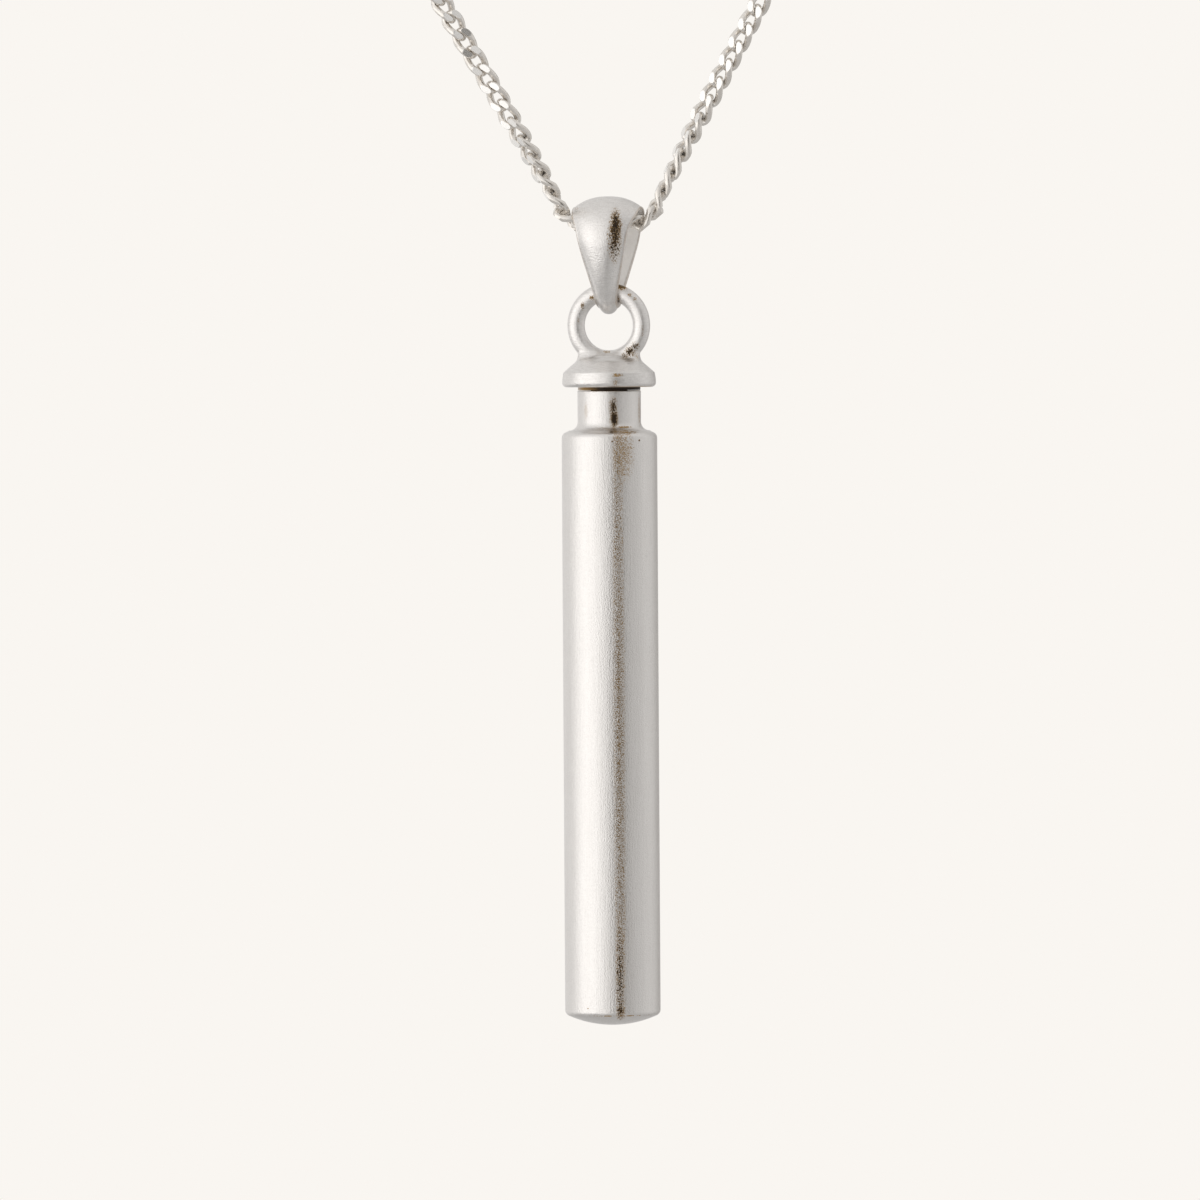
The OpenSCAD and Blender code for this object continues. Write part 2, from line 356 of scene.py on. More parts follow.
def makeCap():
    wire = capSizes["ringWire"]/2
    ring = capSizes["ringHole"]/2 + wire
    ringCentre = joints["urn_swing"]["pos_m"][2]*metre
    coneTop = ringCentre - capSizes["ringHole"]/2 - capSizes["pedestalHeight"]
    moundTop = coneTop + capSizes["mound"]
    rimTop = coneTop - capSizes["coneHeight"]
    rimUnder = rimTop - capSizes["rimHeight"]
    rimRadius, topRadius, rounding = capSizes["rim"]/2, capSizes["rimTop"]/2, capSizes["rimRound"]
    (lowOut, lowUp), (highOut, highUp) = capSizes["rimSide"]
    outline = [(0, rimUnder), (rimRadius - rounding - capSizes["rimHold"], rimUnder)]
    outline += arc((rimRadius - rounding, rimUnder + rounding), rounding, -90, 0, 10)
    outline += [(rimRadius + lowOut, rimUnder + rounding + lowUp), (topRadius + highOut, rimTop + highUp)]
    outline += [(topRadius, rimTop), (capSizes["coneTop"]/2, coneTop)]
    outline += [(capSizes["moundTop"]/2, moundTop), (0, moundTop)]
    body = turnOnLathe(drawOutline(outline), 256)
    deselect()
    bpy.ops.mesh.primitive_torus_add(
        major_radius=ring, minor_radius=wire, major_segments=192, minor_segments=64,
        location=(0, 0, ringCentre), rotation=(math.pi/2, 0, 0),
    )
    loop = bpy.context.object
    deselect()
    sunk = capSizes["pedestalSunk"]
    height = ringCentre - ring + capSizes["pedestalRise"] - coneTop + sunk
    bpy.ops.mesh.primitive_cube_add(size=1, location=(0, 0, coneTop - sunk + height/2))
    pedestal = bpy.context.object
    pedestal.scale = (capSizes["pedestalWidth"], capSizes["pedestalThickness"], height)
    bpy.ops.object.transform_apply(location=True, rotation=True, scale=True)
    bpy.ops.object.mode_set(mode="EDIT")
    bpy.ops.mesh.select_all(action="SELECT")
    bpy.ops.mesh.bevel(offset=capSizes["pedestalEdge"], segments=5, affect="EDGES")
    bpy.ops.object.mode_set(mode="OBJECT")
    for piece in (loop, pedestal):
        turnAboutUp(piece)
    casting = joinAll([body, loop, pedestal], "casting")
    melt = casting.modifiers.new("melt", "REMESH")
    melt.mode = "VOXEL"
    melt.voxel_size = capSizes["grain"]
    melt.use_smooth_shade = True
    applyModifiers(casting)
    # Smoothed a little all over, and much more where the ring grows out of the cone
    root, foot = capSizes["root"], capSizes["foot"]
    fade, fadeOut = capSizes["fade"], capSizes["fadeOut"]
    rootGroup = casting.vertex_groups.new(name="root")
    footGroup = casting.vertex_groups.new(name="foot")
    rootTop = ringCentre - ring + root["up"]
    for vertex in casting.data.vertices:
        away = math.hypot(vertex.co.x, vertex.co.y)
        rise = vertex.co.z - coneTop
        rootShare = ease(root["out"] - away, fadeOut)*ease(rootTop - vertex.co.z, capSizes["fadeUp"])
        rootShare *= ease(rise + root["down"], fade)
        footShare = ease(foot["out"] - away, fadeOut)*ease(rise + foot["down"], fade)
        footShare *= ease(foot["up"] - rise, fade)
        for group, share in ((rootGroup, rootShare), (footGroup, footShare)):
            if share > 0:
                group.add([vertex.index], share, "REPLACE")
    for group, turns in (("", "softTurns"), ("root", "meltTurns"), ("foot", "footTurns")):
        smoothing = casting.modifiers.new("smoothing", "SMOOTH")
        smoothing.factor = 0.5
        smoothing.iterations = capSizes[turns]
        smoothing.vertex_group = group
    applyModifiers(casting)
    cap = joinAll([casting] + makeStud(rimUnder), "cap")
    return finishPiece(cap, "capCasting")


cap = makeCap()
print("cap cast", len(cap.data.polygons), "faces")


# Bail: a closed band round a large circle over a small one, wide at its arch and narrow at its bar
bailSizes = {
    "width": 3.95,
    "barWidth": 1.1,
    "holeHeight": 5.15,
    "holeRadius": 1.5,
    "topThickness": 0.9,
    "barThickness": 0.7,
    "edge": 0.14,
    "curl": 0.12,
    "cradle": 0.56,
    "archSteps": 96,
    "cradleSteps": 40,
    "leafSteps": 28,
    "facePoints": 22,
    "edgePoints": 5,
    "fullness": 2.4,
    "puffFrom": 1.8,  # mm round the hole from the arch's top to where the leaves start to swell
    "puffSlope": 0.2,
    # share of the height, share of the widening
    "flare": [
        (0, 0), (0.17, 0.11), (0.28, 0.21), (0.47, 0.39), (0.69, 0.59), (0.81, 0.71), (0.95, 0.95), (1, 1),
    ],
}


def alongFlare(share):  # smooth curve through the flare's points
    points = bailSizes["flare"]
    slopes = [(b[1] - a[1])/(b[0] - a[0]) for a, b in zip(points, points[1:])]
    tangents = [slopes[0]] + [(a + b)/2 for a, b in zip(slopes, slopes[1:])] + [slopes[-1]]
    share = min(1, max(0, share))
    for k in range(len(points) - 1):
        (x0, y0), (x1, y1) = points[k], points[k + 1]
        if share <= x1:
            break
    t, span = (share - x0)/(x1 - x0), x1 - x0
    return (
        y0*(2*t**3 - 3*t**2 + 1) + y1*(3*t**2 - 2*t**3)
        + tangents[k]*span*(t**3 - 2*t**2 + t) + tangents[k + 1]*span*(t**3 - t**2)
    )


def bailStations(archTop):  # places round the hole: y, z, the outward normal's direction and the extra metal
    large, small = bailSizes["holeRadius"], bailSizes["cradle"]
    high = archTop - large
    low = archTop - bailSizes["holeHeight"] + small
    lean = math.asin((large - small)/(high - low))
    begin, slope = bailSizes["puffFrom"], bailSizes["puffSlope"]
    first = large*(math.pi/2 + lean)  # from the arch's top to the leaf, round the hole
    second = first + (high - low)*math.cos(lean)  # to the cradle
    last = second + small*(math.pi/2 - lean)  # to the cradle's bottom

    def puff(far):  # extra metal, so that the outer face is one round curve from the arch down to the bar
        if far <= begin:
            return 0
        if far <= first:
            return slope*(far - begin)**2/(first - begin)/2
        side = slope*(first - begin)/2
        if far <= second:
            return side + slope*(far - first) - slope*(far - first)**2/(second - first)
        return side - slope*(far - second) + slope*(far - second)**2/(last - second)/2

    arch, cradle = [], []
    for k in range(bailSizes["archSteps"] + 1):
        angle = -lean + k*(math.pi + 2*lean)/bailSizes["archSteps"]
        extra = puff(large*abs(angle - math.pi/2))
        arch.append((large*math.cos(angle), high + large*math.sin(angle), angle, extra))
    for k in range(bailSizes["cradleSteps"] + 1):
        angle = math.pi + lean + k*(math.pi - 2*lean)/bailSizes["cradleSteps"]
        extra = puff(last - small*abs(angle - 1.5*math.pi))
        cradle.append((small*math.cos(angle), low + small*math.sin(angle), angle, extra))
    count = bailSizes["leafSteps"]

    def leaf(a, b):  # straight stretch between two stations
        return [
            (a[0] + (b[0] - a[0])*k/count, a[1] + (b[1] - a[1])*k/count, a[2],
             puff(first + (second - first)*k/count))
            for k in range(1, count)
        ]

    back = leaf(arch[-1], cradle[0])
    front = leaf(cradle[-1], arch[0])
    return arch + back + cradle + front


def bailSection(halfWidth, thickness):  # closed section: x across the band and v out from the hole
    rounding = bailSizes["edge"]/2
    curl, top = bailSizes["curl"], bailSizes["curl"] + bailSizes["edge"]
    reach = halfWidth - rounding
    faces, edges = bailSizes["facePoints"], bailSizes["edgePoints"]
    outer, inner = [], []
    for k in range(faces + 1):
        x = reach*math.cos(math.pi*k/faces)
        outer.append((-x, top + (thickness - top)*(1 - abs(x/halfWidth)**bailSizes["fullness"])))
        inner.append((x, curl*(x/halfWidth)**2))

    def turnEdge(start, end, side):  # half a circle from one face round to the other
        middle = ((start[0] + end[0])/2, (start[1] + end[1])/2)
        half = math.dist(start, end)/2
        first = math.atan2(start[1] - middle[1], start[0] - middle[0])
        return [
            (middle[0] + half*math.cos(first - side*math.pi*k/(edges + 1)),
             middle[1] + half*math.sin(first - side*math.pi*k/(edges + 1)))
            for k in range(1, edges + 1)
        ]

    return outer + turnEdge(outer[-1], inner[0], 1) + inner + turnEdge(inner[-1], outer[0], 1)


def makeBail():
    archTop = corners("bail")[1].z - bailSizes["topThickness"]
    barZ = archTop - bailSizes["holeHeight"]
    widening = bailSizes["width"] - bailSizes["barWidth"]
    thickening = bailSizes["topThickness"] - bailSizes["barThickness"]
    stations = bailStations(archTop)
    faces, edges = bailSizes["facePoints"] + 1, bailSizes["edgePoints"]
    around = 2*(faces + edges)
    deselect()
    # A torus gives the band's faces, and each of its rings is then set to its own section
    bpy.ops.mesh.primitive_torus_add(major_segments=len(stations), minor_segments=around)
    bail = bpy.context.object
    for ring, (y, z, angle, extra) in enumerate(stations):
        share = (z - barZ)/bailSizes["holeHeight"]
        halfWidth = (bailSizes["barWidth"] + widening*alongFlare(share))/2
        thickness = bailSizes["barThickness"] + thickening*share + extra
        for number, (x, v) in enumerate(bailSection(halfWidth, thickness)):
            place = Vector((x, y + v*math.cos(angle), z + v*math.sin(angle)))
            bail.data.vertices[ring*around + number].co = place
    bail.data.transform(Matrix.Rotation(pendantTurn, 4, "Z"))
    for name in ("inner", "edge"):
        bail.data.attributes.new(name, "FLOAT", "POINT")
    inner, edge = bail.data.attributes["inner"], bail.data.attributes["edge"]
    for number in range(len(bail.data.vertices)):
        here = number % around
        inner.data[number].value = float(faces + edges <= here < 2*faces + edges)
        edge.data[number].value = float(faces <= here < faces + edges or here >= 2*faces + edges)
    pick(bail)
    bpy.ops.object.mode_set(mode="EDIT")
    faceOutwards()
    bpy.ops.object.mode_set(mode="OBJECT")
    return finishPiece(bail, "bailBand", 60)


bail = makeBail()
print("bail bent", len(bail.data.polygons), "faces")


# Chain: curb links with cut flats, modelled once finely, for those by the pendant, and once plainly
chainSizes = {
    "pitch": 1.17,
    "wire": 0.4,
    "halfLength": 0.79,  # of the wire's middle line
    "halfWidth": 0.42,
    "lift": -0.27,  # how far its four quarters stand out of the link's plane, below zero for the photo's hand
    "flat": 0.365,  # how far the cut flats lie from a link's middle
    "reach": 0.4,  # a link lies along the chord between the places this far before and behind it
    "fineUpTo": 19,  # mm along the chain from the bail where links are fine
    "fineAround": 50,
    "fineSides": 12,
    "plainAround": 10,
    "plainSides": 6,
    "shake": 4,  # degrees that a link rolls out of line
    "seed": 7,
    "routeSteps": 40,  # of the curve between two chosen points
    "bend": [(0.7, 0.88), (0.4, 0.4), (-0.1, 0.13)],  # by the bail: out from its sides, up from its axis
    "dip": (0.07, 0.06),  # up from the axis, halfway in and in the middle
    "bailBelow": -170,  # the stretch in the bail lies below this height
    "eyeHeight": -0.1,  # of the two ends, in the clasp's eyes
}
# The route's chosen points, as x and z
rightRoute = [
    (15, -1.8), (29.3, -7.6), (41.6, -16.8), (50.8, -29), (56.2, -43), (57.9, -57.5),
    (56.4, -71), (51.3, -84), (43.8, -97), (31, -120), (20.3, -140), (9.6, -160),
    (5.35, -168), (3.3, -172),
]
leftRoute = [
    (-3.4, -172), (-5.65, -168), (-10.3, -160), (-22, -140), (-33.7, -120), (-47.1, -97),
    (-54.6, -84), (-59.5, -71), (-61, -57.5), (-59, -43), (-53, -29), (-42.8, -16.8),
    (-29.7, -7.6), (-15, -1.8),
]
# How far the links have rolled from flat towards the viewer: mm along the chain from the bail, degrees
leftRoll = [
    (0, 90), (3, 88), (4, 80), (5, 70), (6.5, 58), (7.7, 45), (9, 30), (10.3, 22), (11.6, 17), (12.3, 11),
    (12.9, 0), (13.5, -8), (14.3, -10), (14.9, -22), (17, -24), (40, 0), (180, 0), (220, -90),
]
rightRoll = [
    (0, 90), (5, 95), (6.4, 104), (7.7, 118), (9.4, 138), (10.5, 148), (11.6, 152), (13.6, 157), (18, 162),
    (30, 180), (180, 180), (220, 270),
]


def linkRoute():  # from the clasp's left eye down to the bail and up to the right eye
    swing = joints["bail_swing"]["pos_m"][2]*metre
    half = bailSizes["width"]/2
    halfway, middle = chainSizes["dip"]
    bend = [(half + out, swing + up) for out, up in chainSizes["bend"]] + [(half/2, swing + halfway)]
    eye, height = claspSizes["linkAt"], chainSizes["eyeHeight"]
    points = [(-eye, height)] + leftRoute[::-1] + [(-x, z) for x, z in bend] + [(0, swing + middle)]
    return points + bend[::-1] + rightRoute[::-1] + [(eye, height)]


def smoothLine(points):  # curve through the points
    steps = chainSizes["routeSteps"]
    last = len(points) - 1
    line = []
    for i in range(last):
        a, b, c, d = points[max(i - 1, 0)], points[i], points[i + 1], points[min(i + 2, last)]
        for k in range(steps):
            t = k/steps
            line.append(tuple(
                0.5*(2*b[n] + (c[n] - a[n])*t + (2*a[n] - 5*b[n] + 4*c[n] - d[n])*t*t
                     + (3*b[n] - a[n] - 3*c[n] + d[n])*t**3)
                for n in (0, 1)
            ))
    return line + [points[-1]]


def pointAt(line, lengths, along):  # the place so many mm along the line
    along = min(lengths[-1], max(0, along))
    low, high = 0, len(lengths) - 1
    while high - low > 1:
        half = (low + high)//2
        if lengths[half] <= along:
            low = half
        else:
            high = half
    share = (along - lengths[low])/(lengths[high] - lengths[low])
    a, b = line[low], line[high]
    return Vector((a[0] + (b[0] - a[0])*share, 0, a[1] + (b[1] - a[1])*share))


def lookUp(table, x):
    for (x0, y0), (x1, y1) in zip(table, table[1:]):
        if x <= x1:
            t = (x - x0)/(x1 - x0)
            return y0 + (y1 - y0)*t
    return table[-1][1]


def makeLink(around, sides):
    deselect()
    # A round wire along an oval that winds out of its plane, as a twisted and flattened link does
    bpy.ops.curve.primitive_nurbs_path_add(radius=1)
    link = bpy.context.object
    bpy.ops.object.mode_set(mode="EDIT")
    bpy.ops.curve.select_all(action="SELECT")
    bpy.ops.curve.cyclic_toggle()
    bpy.ops.curve.spline_type_set(type="POLY")
    bpy.ops.curve.subdivide(number_cuts=around//5 - 1)  # the path starts with five points
    bpy.ops.object.mode_set(mode="OBJECT")
    points = link.data.splines[0].points
    for number, point in enumerate(points):
        angle = math.tau*number/len(points)
        out = chainSizes["lift"]*math.sin(2*angle)
        point.co = (chainSizes["halfLength"]*math.cos(angle), chainSizes["halfWidth"]*math.sin(angle), out, 1)
    link.data.dimensions = "3D"
    link.data.bevel_depth = chainSizes["wire"]/2
    link.data.bevel_resolution = sides//2 - 2  # which gives the wire that many sides
    bpy.ops.object.convert(target="MESH")
    bpy.ops.object.mode_set(mode="EDIT")
    bpy.ops.mesh.select_all(action="SELECT")
    bpy.ops.mesh.remove_doubles(threshold=mergeWithin)
    for side in (-1, 1):  # the flats
        bpy.ops.mesh.select_all(action="SELECT")
        bpy.ops.mesh.bisect(plane_co=(0, 0, side*chainSizes["flat"]), plane_no=(0, 0, side),
                            clear_outer=True, use_fill=True)
    faceOutwards()
    bpy.ops.object.mode_set(mode="OBJECT")
    cut = link.data.attributes.new("cut", "FLOAT", "FACE")
    for face in link.data.polygons:
        cut.data[face.index].value = float(abs(abs(face.center.z) - chainSizes["flat"]) < sameWithin)
    return link


def placeLinks(template, places, name):
    copies = []
    for matrix in places:
        copy = bpy.data.objects.new("link", template.data.copy())
        bpy.context.scene.collection.objects.link(copy)
        copy.data.transform(matrix)
        copies.append(copy)
    deselect()
    bpy.data.objects.remove(template)
    return finishPiece(joinAll(copies, name), name, 30)


def makeChain():
    line = smoothLine(linkRoute())
    lengths = [0]
    for a, b in zip(line, line[1:]):
        lengths.append(lengths[-1] + math.dist(a, b))
    total = lengths[-1]
    count = round(total/chainSizes["pitch"]) + 1
    inBail = [k for k, point in enumerate(line) if point[1] < chainSizes["bailBelow"]]
    middle = lengths[min(inBail, key=lambda k: abs(line[k][0]))]
    dice = random.Random(chainSizes["seed"])
    reach = chainSizes["reach"]
    front = Vector((0, -1, 0))
    fine, plain = [], []
    for number in range(count):
        along = total*number/(count - 1)
        way = (pointAt(line, lengths, along + reach) - pointAt(line, lengths, along - reach)).normalized()
        roll = lookUp(leftRoll, middle - along) if along < middle else lookUp(rightRoll, along - middle)
        roll = math.radians(roll + dice.uniform(-1, 1)*chainSizes["shake"])
        side = front.cross(way)
        up = front*math.cos(roll) - side*math.sin(roll)
        matrix = Matrix((way, up.cross(way), up)).transposed().to_4x4()
        matrix.translation = pointAt(line, lengths, along)
        (fine if abs(along - middle) < chainSizes["fineUpTo"] else plain).append(matrix)
    near = placeLinks(makeLink(chainSizes["fineAround"], chainSizes["fineSides"]), fine, "chainByPendant")
    far = placeLinks(makeLink(chainSizes["plainAround"], chainSizes["plainSides"]), plain, "chainLoop")
    return near, far


# Clasp: one plain barrel with an eye at each end, hidden at the nape
claspSizes = {
    "barrel": 2.6,
    "length": 4.4,
    "taper": 0.8,
    "tip": 1.0,
    "eyeWire": 0.42,
    "eyeHole": 0.98,
    "edge": 0.25,
    "linkAt": 4.72,  # middle of the first link on each side
}


def makeClasp():
    radius, half, tip = claspSizes["barrel"]/2, claspSizes["length"]/2, claspSizes["tip"]/2
    end = half + claspSizes["taper"]
    barrel = drawOutline([(0, -end), (tip, -end), (radius, -half), (radius, half), (tip, end), (0, end)])
    for point in ((radius, -half), (radius, half)):
        roundCorner(barrel, point, claspSizes["edge"], 6)
    for point in ((tip, -end), (tip, end)):
        roundCorner(barrel, point, claspSizes["edge"]/2, 4)
    turnOnLathe(barrel, 96)
    barrel.data.transform(Matrix.Rotation(math.pi/2, 4, "Y"))
    eye = (claspSizes["eyeHole"] + claspSizes["eyeWire"])/2
    eyes = []
    for side in (-1, 1):
        deselect()
        bpy.ops.mesh.primitive_torus_add(
            major_radius=eye, minor_radius=claspSizes["eyeWire"]/2, major_segments=48, minor_segments=16,
            location=(side*(end + eye), 0, 0), rotation=(math.pi/2, 0, 0),
        )
        bpy.ops.object.transform_apply(location=True, rotation=True, scale=True)
        eyes.append(bpy.context.object)
    return finishPiece(joinAll([barrel] + eyes, "clasp"), "claspBarrel")


chainNear, chainFar = makeChain()
clasp = makeClasp()
print("chain linked", len(chainNear.data.polygons), "and", len(chainFar.data.polygons), "faces")


# Node helpers
def feed(tree, node, inputs):  # links sockets, and sets plain values
    for key, value in inputs.items():
        if isinstance(value, bpy.types.NodeSocket):
            tree.links.new(value, node.inputs[key])
        else:
            node.inputs[key].default_value = value
    return node


def addNode(tree, kind, inputs=None, **settings):
    node = tree.nodes.new(kind)
    for key, value in settings.items():
        setattr(node, key, value)
    return feed(tree, node, inputs or {})


def math2(tree, operation, a, b, clamp=False):
    return addNode(tree, "ShaderNodeMath", {0: a, 1: b}, operation=operation, use_clamp=clamp).outputs[0]


def vector2(tree, operation, a, b):
    return addNode(tree, "ShaderNodeVectorMath", {0: a, 1: b}, operation=operation).outputs[0]


def vectorLength(tree, vector):
    return addNode(tree, "ShaderNodeVectorMath", {0: vector}, operation="LENGTH").outputs["Value"]


def mapRange(tree, value, start, end, low=0.0, high=1.0, curve="LINEAR"):
    given = {"Value": value, "From Min": start, "From Max": end, "To Min": low, "To Max": high}
    return addNode(tree, "ShaderNodeMapRange", given, interpolation_type=curve).outputs[0]


def noise(tree, place, scale, detail, roughness=0.5):
    given = {"Vector": place, "Scale": scale, "Detail": detail, "Roughness": roughness}
    return addNode(tree, "ShaderNodeTexNoise", given).outputs["Fac"]


def mixValue(tree, factor, a, b):
    node = addNode(tree, "ShaderNodeMix", {"Factor": factor, "A": a, "B": b}, data_type="FLOAT")
    return node.outputs["Result"]


def mixColour(tree, factor, a, b):  # by number, because the colour sockets share their names with other kinds
    return addNode(tree, "ShaderNodeMix", {0: factor, 6: a, 7: b}, data_type="RGBA").outputs[2]


def objectPlace(tree):
    return tree.nodes.new("ShaderNodeTexCoord").outputs["Object"]


def placeInMm(tree):
    given = {0: objectPlace(tree), "Scale": float(metre)}
    return addNode(tree, "ShaderNodeVectorMath", given, operation="SCALE").outputs[0]


def newMaterial(name):
    material = bpy.data.materials.new(name)
    material.use_nodes = True
    tree = material.node_tree
    return material, tree, tree.nodes["Principled BSDF"]


def newGroup(name, inputs, outputs):
    tree = bpy.data.node_groups.new(name, "ShaderNodeTree")
    for label, kind, value in inputs:
        socket = tree.interface.new_socket(name=label, in_out="INPUT", socket_type=kind)
        socket.default_value = value
    for label, kind in outputs:
        tree.interface.new_socket(name=label, in_out="OUTPUT", socket_type=kind)
    return tree, tree.nodes.new("NodeGroupInput").outputs, tree.nodes.new("NodeGroupOutput")


def useGroup(tree, group, inputs):
    node = tree.nodes.new("ShaderNodeGroup")
    node.node_tree = group
    return feed(tree, node, inputs).outputs


# How the noise is read: noise from, noise to, result from, result to
satin = {
    "tone": (0.2, 0.8, 0.35, 0.65),
    "fine": (0.35, 0.65),
    "rough": (0.25, 0.75),
    "broadScale": 2.5,
    "broadDetail": 3.0,
    "specular": 0.25,
}
silverTones = {
    "clean": (0.91, 0.895, 0.88, 1),
    "worn": (0.70, 0.68, 0.66, 1),
    # the bail's inner face, paler as painted light
    "paintedLitInner": (0.97, 0.955, 0.935, 1),
}
# Colours of the dark patches: tarnished metal, and also painted shadow in the seam and painted reflections of
# the studio's dark gap
tarnishAndPaintedShade = {
    "brown": (0.36, 0.22, 0.075, 1),
    "black": (0.022, 0.012, 0.005, 1),
    "brownAt": 0.4,  # on the mask, from 0 to 1
    "blackAt": 0.85,
    "cover": (0.04, 0.4),  # where it comes to hide the silver
    "metal": (0.55, 0.1, 0.1),  # where the metal's share has fallen, where it falls from, its least
    "roughness": 0.4,
    "contrast": 4.0,  # of the noise that breaks a patch into specks
    "sparse": 0.3,
    "speckEdge": (0.1, 0.5),
    "patchEdge": 5.0,
    "depth": (0.0, 0.5, 0.3),  # a patch is this pale at its rim
}


def satinGrainGroup():  # fine matt grain with longer brushed lines, for colour, roughness and bump
    tree, given, out = newGroup(
        "satinGrain",
        [("Place", "NodeSocketVector", (0, 0, 0)), ("Grain Size", "NodeSocketFloat", 0.1),
         ("Stretch", "NodeSocketVector", (1, 1, 1)), ("Line Share", "NodeSocketFloat", 0.5)],
        [("Height", "NodeSocketFloat"), ("Tone", "NodeSocketFloat")],
    )
    size = math2(tree, "DIVIDE", 1.0, given["Grain Size"])
    drawn = vector2(tree, "MULTIPLY", given["Place"], given["Stretch"])
    grain = noise(tree, given["Place"], size, 1.0)
    lines = noise(tree, drawn, size, 1.0)
    height = mixValue(tree, given["Line Share"], grain, lines)
    feed(tree, out, {"Height": height, "Tone": noise(tree, drawn, satin["broadScale"], satin["broadDetail"])})
    return tree


def spotGroup():  # a dark patch round a place, broken into specks: tarnished metal, and also painted shadow and painted reflection where a patch stands for them
    tree, given, out = newGroup(
        "tarnishAndShadeSpot",
        [("Place", "NodeSocketVector", (0, 0, 0)), ("Centre", "NodeSocketVector", (0, 0, 0)),
         ("Reach", "NodeSocketVector", (1, 1, 1)), ("Speck Size", "NodeSocketFloat", 0.1),
         ("Speck Stretch", "NodeSocketVector", (1, 1, 1)), ("Speck Share", "NodeSocketFloat", 0.5),
         ("Amount", "NodeSocketFloat", 1.0)],
        [("Mask", "NodeSocketFloat")],
    )
    away = vector2(tree, "SUBTRACT", given["Place"], given["Centre"])
    far = vectorLength(tree, vector2(tree, "DIVIDE", away, given["Reach"]))
    inside = math2(tree, "SUBTRACT", 1.0, far, True)
    size = math2(tree, "DIVIDE", 1.0, given["Speck Size"])
    drawn = vector2(tree, "MULTIPLY", given["Place"], given["Speck Stretch"])
    specks = noise(tree, drawn, size, 2.0, 0.7)
    uneven = math2(tree, "MULTIPLY", math2(tree, "SUBTRACT", specks, 0.5), tarnishAndPaintedShade["contrast"])
    sparse = math2(tree, "SUBTRACT", uneven, tarnishAndPaintedShade["sparse"])
    ragged = math2(tree, "ADD", inside, math2(tree, "MULTIPLY", sparse, given["Speck Share"]))
    sharp = mapRange(tree, ragged, *tarnishAndPaintedShade["speckEdge"])
    near = math2(tree, "MULTIPLY", inside, tarnishAndPaintedShade["patchEdge"], True)
    depth = mapRange(tree, inside, *tarnishAndPaintedShade["depth"])
    part = math2(tree, "MULTIPLY", math2(tree, "MULTIPLY", sharp, near), depth)
    feed(tree, out, {"Mask": math2(tree, "MULTIPLY", part, given["Amount"], True)})
    return tree


def tarnishAndShadeColourGroup():  # silver, then brown, then near black as the mask grows
    tree, given, out = newGroup(
        "tarnishAndShadeColour",
        [("Mask", "NodeSocketFloat", 0.0), ("Silver", "NodeSocketColor", (0.8, 0.8, 0.8, 1))],
        [("Color", "NodeSocketColor"), ("Dullness", "NodeSocketFloat"), ("Metal", "NodeSocketFloat")],
    )
    ramp = addNode(tree, "ShaderNodeValToRGB", {"Fac": given["Mask"]})
    for stop, tone in zip(ramp.color_ramp.elements, ("brown", "black")):
        stop.color = tarnishAndPaintedShade[tone]
        stop.position = tarnishAndPaintedShade[tone + "At"]
    cover = mapRange(tree, given["Mask"], *tarnishAndPaintedShade["cover"])
    feed(tree, out, {
        "Color": mixColour(tree, cover, given["Silver"], ramp.outputs["Color"]),
        "Dullness": cover,
        "Metal": mapRange(tree, given["Mask"], *tarnishAndPaintedShade["metal"]),
    })
    return tree


grainGroup = satinGrainGroup()
tarnishAndShadeSpot = spotGroup()
tarnishAndShadeColour = tarnishAndShadeColourGroup()


def spot(at, reach, size, share, amount=1.0, stretch=(1, 1, 1)):  # size and share are those of its specks
    return {
        "Centre": at, "Reach": reach, "Speck Size": size, "Speck Share": share, "Amount": amount,
        "Speck Stretch": stretch,
    }


